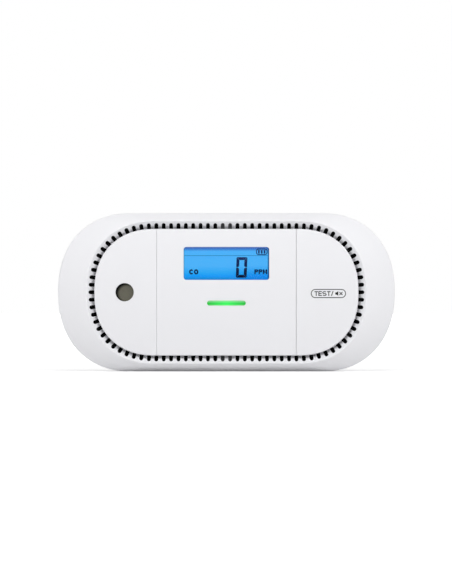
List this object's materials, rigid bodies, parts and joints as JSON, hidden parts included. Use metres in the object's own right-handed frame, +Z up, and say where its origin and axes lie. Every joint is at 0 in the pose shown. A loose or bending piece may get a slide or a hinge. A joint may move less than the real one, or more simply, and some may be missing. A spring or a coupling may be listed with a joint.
{
  "type": "carbon monoxide alarm",
  "caption": "White pill-shaped carbon monoxide alarm with a slotted rim, a blue digital display, a green lamp bar, a hinged test button and a hinged battery door at the back.",
  "frame": {"origin": "on the surface it stands on, under the middle of the case", "axes": "+X to the right as seen from the front, +Y from the front to the wall side, +Z up"},
  "size_m": [0.16, 0.0358, 0.0752],
  "materials": {
    "case_white": "moulded, fine satin grain",
    "panel_white": "moulded, smooth satin",
    "clear_lens": "clear polished acrylic",
    "lamp_bar_green": "milky acrylic, lit",
    "olive_gauze": "fine woven gauze",
    "black_mesh": "fine woven mesh",
    "grey_plastic": "moulded",
    "black_plastic": "moulded",
    "display_blue": "backlit liquid crystal cell",
    "milky_guide": "milky light guide",
    "contact_rubber": "striped conductive rubber",
    "red_resin": "lamp resin",
    "yellow_resin": "lamp resin",
    "green_resin": "lamp resin",
    "board_green": "glass-fibre laminate with solder mask",
    "brass_plate": "rolled sheet",
    "silvered_ceramic": "silvered",
    "red_sleeve": "wire sleeve",
    "black_sleeve": "wire sleeve",
    "plated_steel": "bright plated",
    "ferrite": "dark ferrite",
    "can_sleeve": "shrunk sleeve",
    "cell_sleeve": "shrunk sleeve, no print"
  },
  "bodies": {
    "case": {"front_cover": "case_white", "rear_cover": "case_white", "display_panel": "panel_white", "horn_panel": "panel_white", "display_lens": "clear_lens", "light_pipe": "lamp_bar_green", "horn_gauze": "olive_gauze", "vent_screen_left": "black_mesh", "vent_screen_right": "black_mesh", "screen_clip_top": "grey_plastic", "screen_clip_bottom": "grey_plastic", "lcd_glass": "display_blue", "lcd_backlight": "milky_guide", "lcd_frame": "black_plastic", "lcd_contact_strip": "contact_rubber", "lamp_red": "red_resin", "lamp_yellow": "yellow_resin", "lamp_green": "green_resin", "main_board": "board_green", "switch_body": "black_plastic", "horn_housing": "black_plastic", "horn_plate": "brass_plate", "horn_ceramic": "silvered_ceramic", "horn_ring": "grey_plastic", "horn_cap": "black_plastic", "horn_wire_red": "red_sleeve", "horn_wire_black": "black_sleeve", "gas_sensor_can": "plated_steel", "gas_sensor_filter": "black_plastic", "controller_chip": "black_plastic", "horn_coil": "ferrite", "storage_capacitor": "can_sleeve", "battery_cell": "cell_sleeve", "battery_contact_minus": "plated_steel", "battery_contact_plus": "plated_steel", "battery_spring": "plated_steel", "case_screw_1": "plated_steel", "case_screw_2": "plated_steel", "case_screw_3": "plated_steel", "case_screw_4": "plated_steel", "board_screw_1": "plated_steel", "board_screw_2": "plated_steel", "board_screw_3": "plated_steel"},
    "button": {"test_button": "panel_white"},
    "plunger": {"switch_plunger": "grey_plastic"},
    "door": {"battery_door": "case_white"}
  },
  "joints": [
    {"name": "test_button_press", "type": "hinge", "parent": "case", "child": "button", "pos_m": [0.0357, -0.0104, 0.0376], "axis": [0, 0, 1], "range_deg": [0, 2], "stiffness_Nm_per_rad": 1.3},
    {"name": "switch_travel", "type": "slide", "parent": "case", "child": "plunger", "axis": [0, 1, 0], "range_m": [0, 0.0005]},
    {"name": "battery_door_swing", "type": "hinge", "parent": "case", "child": "door", "pos_m": [0, 0.0169, 0.0361], "axis": [1, 0, 0], "range_deg": [0, 95]}
  ],
  "couplings": [
    {"joint": "switch_travel", "follows": "test_button_press", "m_per_rad": 0.0126}
  ]
}
